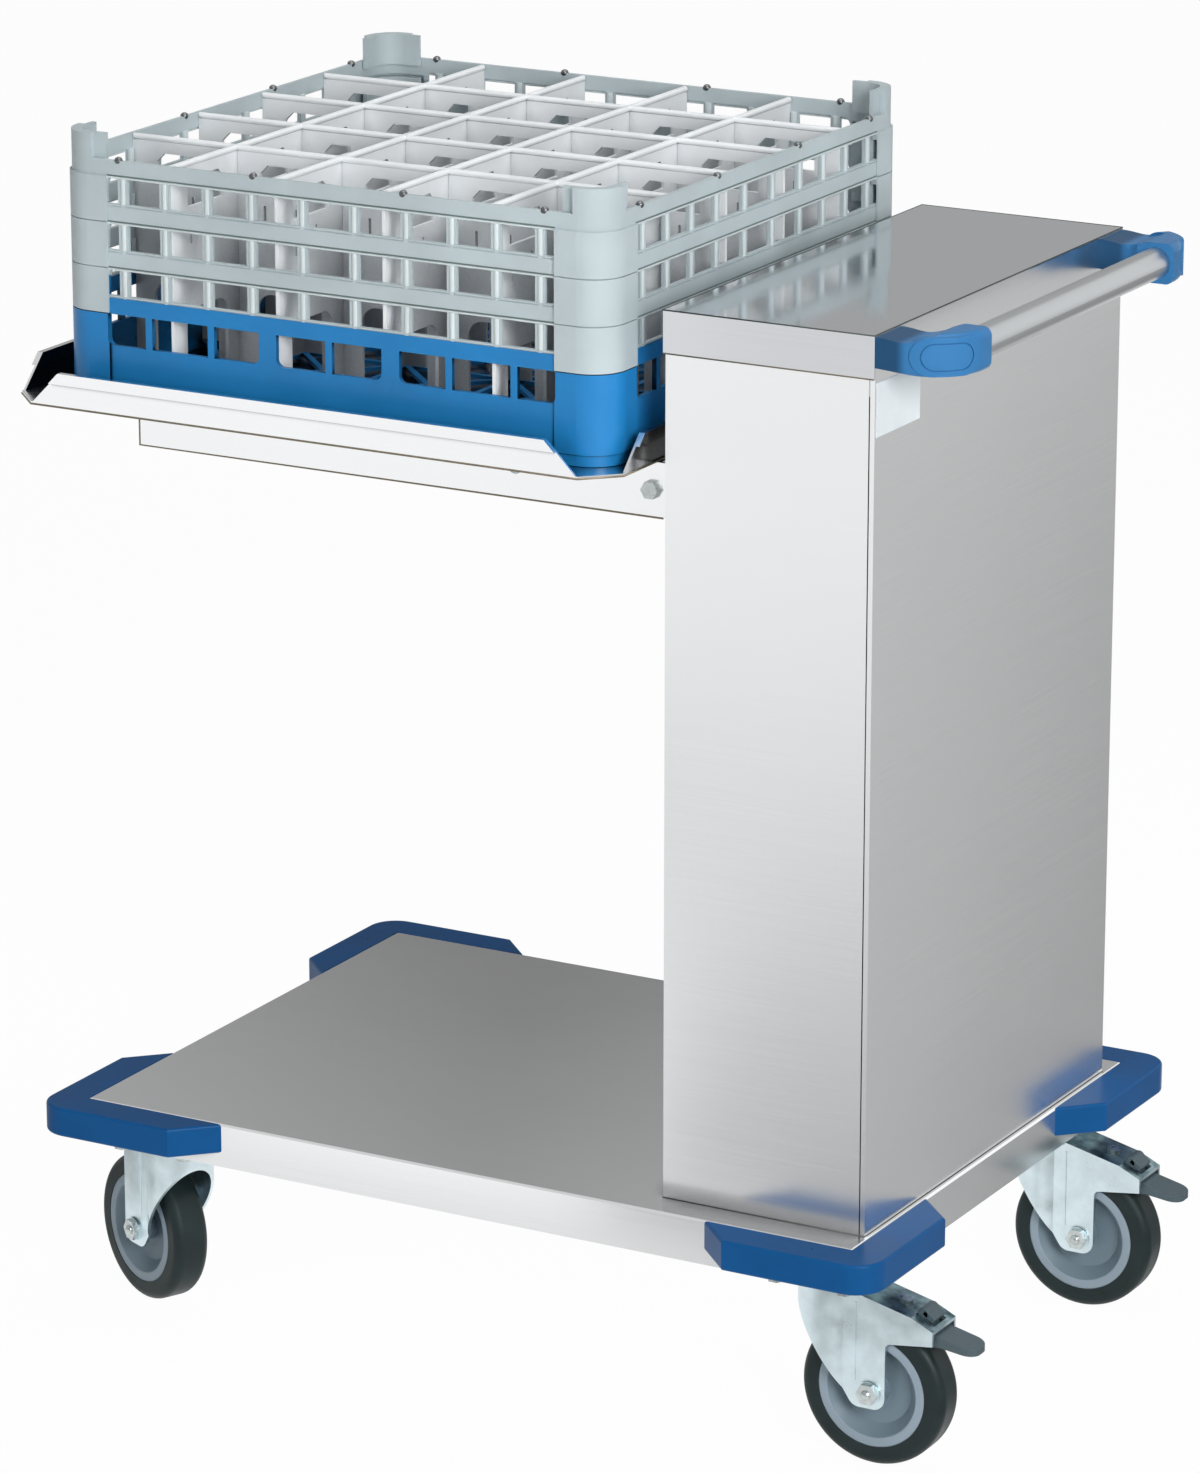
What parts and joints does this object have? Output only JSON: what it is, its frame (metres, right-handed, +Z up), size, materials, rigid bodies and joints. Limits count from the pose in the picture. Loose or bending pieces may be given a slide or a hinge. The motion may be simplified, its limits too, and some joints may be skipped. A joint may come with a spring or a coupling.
{
  "type": "self-levelling rack trolley",
  "caption": "Sheet-steel trolley on swivel castors with a hollow column, push handle and a sprung lifting platform that carries stacked compartment racks.",
  "frame": {"origin": "on the floor, under the middle of the trolley's overall length and width", "axes": "+X towards the push handle, +Y to the right hand of the person pushing, looking along -X from the handle is forwards, +Z up"},
  "size_m": [0.843, 0.561, 1.0063],
  "materials": {
    "stainless": "satin brushed",
    "zinc_steel": "zinc plated, satin",
    "fastener_steel": "zinc plated",
    "spring_steel": "oiled",
    "bumper_blue": "matt moulded",
    "handle_blue": "matt moulded",
    "rack_blue": "satin moulded",
    "rack_grey": "satin moulded",
    "divider_white": "satin moulded",
    "tyre_grey": "matt",
    "rim_grey": "satin moulded",
    "pedal_grey": "satin moulded",
    "roller_nylon": "satin",
    "stop_rubber": "matt"
  },
  "bodies": {
    "chassis": {"deck_pan": "stainless", "cross_channels": "zinc_steel", "bumper_handle_left": "bumper_blue", "bumper_handle_right": "bumper_blue", "bumper_load_left": "bumper_blue", "bumper_load_right": "bumper_blue", "column_shell": "stainless", "rear_panel": "stainless", "column_lid": "stainless", "handle_bracket_left": "handle_blue", "handle_bracket_right": "handle_blue", "handle_tube": "stainless", "guide_rail_left": "zinc_steel", "guide_rail_right": "zinc_steel", "spring_hanger": "zinc_steel", "lift_springs": "spring_steel", "top_stops": "stop_rubber", "bottom_stops": "stop_rubber", "castor_plates": "zinc_steel", "swivel_heads": "zinc_steel", "castor_bolts": "fastener_steel"},
    "carriage": {"carriage_plate_left": "zinc_steel", "carriage_plate_right": "zinc_steel", "spring_bar": "zinc_steel", "carriage_tie": "zinc_steel", "platform_arm_left": "stainless", "platform_arm_right": "stainless", "platform_tray": "stainless", "arm_bolts": "fastener_steel", "roller_pins": "fastener_steel"},
    "rack_stack": {"rack_base": "rack_blue", "rack_extender_1": "rack_grey", "rack_extender_2": "rack_grey", "rack_extender_3": "rack_grey", "dividers_long": "divider_white", "dividers_cross": "divider_white"},
    "roller_lower_left": {"guide_roller_lower_left": "roller_nylon"},
    "roller_lower_right": {"guide_roller_lower_right": "roller_nylon"},
    "roller_upper_left": {"guide_roller_upper_left": "roller_nylon"},
    "roller_upper_right": {"guide_roller_upper_right": "roller_nylon"},
    "fork_handle_left": {"castor_fork_handle_left": "zinc_steel", "axle_bolt_handle_left": "fastener_steel"},
    "wheel_handle_left": {"wheel_rim_handle_left": "rim_grey", "tyre_handle_left": "tyre_grey"},
    "pedal_left": {"brake_pedal_left": "pedal_grey"},
    "fork_handle_right": {"castor_fork_handle_right": "zinc_steel", "axle_bolt_handle_right": "fastener_steel"},
    "wheel_handle_right": {"wheel_rim_handle_right": "rim_grey", "tyre_handle_right": "tyre_grey"},
    "pedal_right": {"brake_pedal_right": "pedal_grey"},
    "fork_load_left": {"castor_fork_load_left": "zinc_steel", "axle_bolt_load_left": "fastener_steel"},
    "wheel_load_left": {"wheel_rim_load_left": "rim_grey", "tyre_load_left": "tyre_grey"},
    "fork_load_right": {"castor_fork_load_right": "zinc_steel", "axle_bolt_load_right": "fastener_steel"},
    "wheel_load_right": {"wheel_rim_load_right": "rim_grey", "tyre_load_right": "tyre_grey"}
  },
  "joints": [
    {"name": "platform_lift", "type": "slide", "parent": "chassis", "child": "carriage", "axis": [0, 0, 1], "range_m": [-0.42, 0], "stiffness_N_per_m": 750, "springref_m": 0.35, "deforming": ["lift_springs"]},
    {"name": "rack_lift", "type": "slide", "parent": "carriage", "child": "rack_stack", "axis": [0, 0, 1], "range_m": [0, 0.3]},
    {"name": "roller_spin_lower_left", "type": "hinge", "parent": "carriage", "child": "roller_lower_left", "pos_m": [0.213, -0.2095, 0.654], "axis": [0, 1, 0], "range_deg": [-1510, 0]},
    {"name": "roller_spin_lower_right", "type": "hinge", "parent": "carriage", "child": "roller_lower_right", "pos_m": [0.213, 0.2095, 0.654], "axis": [0, 1, 0], "range_deg": [-1510, 0]},
    {"name": "roller_spin_upper_left", "type": "hinge", "parent": "carriage", "child": "roller_upper_left", "pos_m": [0.213, -0.2095, 0.824], "axis": [0, 1, 0], "range_deg": [0, 1510]},
    {"name": "roller_spin_upper_right", "type": "hinge", "parent": "carriage", "child": "roller_upper_right", "pos_m": [0.213, 0.2095, 0.824], "axis": [0, 1, 0], "range_deg": [0, 1510]},
    {"name": "castor_swivel_handle_left", "type": "hinge", "parent": "chassis", "child": "fork_handle_left", "pos_m": [0.2915, -0.193, 0.146], "axis": [0, 0, 1], "continuous": true},
    {"name": "wheel_spin_handle_left", "type": "hinge", "parent": "fork_handle_left", "child": "wheel_handle_left", "pos_m": [0.3335, -0.193, 0.0625], "axis": [0, 1, 0], "continuous": true},
    {"name": "brake_press_left", "type": "hinge", "parent": "fork_handle_left", "child": "pedal_left", "pos_m": [0.3755, -0.193, 0.1195], "axis": [0, 1, 0], "range_deg": [0, 12]},
    {"name": "castor_swivel_handle_right", "type": "hinge", "parent": "chassis", "child": "fork_handle_right", "pos_m": [0.2915, 0.193, 0.146], "axis": [0, 0, 1], "continuous": true},
    {"name": "wheel_spin_handle_right", "type": "hinge", "parent": "fork_handle_right", "child": "wheel_handle_right", "pos_m": [0.3335, 0.193, 0.0625], "axis": [0, 1, 0], "continuous": true},
    {"name": "brake_press_right", "type": "hinge", "parent": "fork_handle_right", "child": "pedal_right", "pos_m": [0.3755, 0.193, 0.1195], "axis": [0, 1, 0], "range_deg": [0, 12]},
    {"name": "castor_swivel_load_left", "type": "hinge", "parent": "chassis", "child": "fork_load_left", "pos_m": [-0.3195, -0.193, 0.146], "axis": [0, 0, 1], "continuous": true},
    {"name": "wheel_spin_load_left", "type": "hinge", "parent": "fork_load_left", "child": "wheel_load_left", "pos_m": [-0.35741, -0.17492, 0.0625], "axis": [-0.4305, -0.9026, 0], "continuous": true},
    {"name": "castor_swivel_load_right", "type": "hinge", "parent": "chassis", "child": "fork_load_right", "pos_m": [-0.3195, 0.193, 0.146], "axis": [0, 0, 1], "continuous": true},
    {"name": "wheel_spin_load_right", "type": "hinge", "parent": "fork_load_right", "child": "wheel_load_right", "pos_m": [-0.35741, 0.21108, 0.0625], "axis": [-0.4305, -0.9026, 0], "continuous": true}
  ],
  "couplings": [
    {"joint": "roller_spin_lower_left", "follows": "platform_lift", "rad_per_m": 62.5},
    {"joint": "roller_spin_lower_right", "follows": "platform_lift", "rad_per_m": 62.5},
    {"joint": "roller_spin_upper_left", "follows": "platform_lift", "rad_per_m": -62.5},
    {"joint": "roller_spin_upper_right", "follows": "platform_lift", "rad_per_m": -62.5}
  ]
}
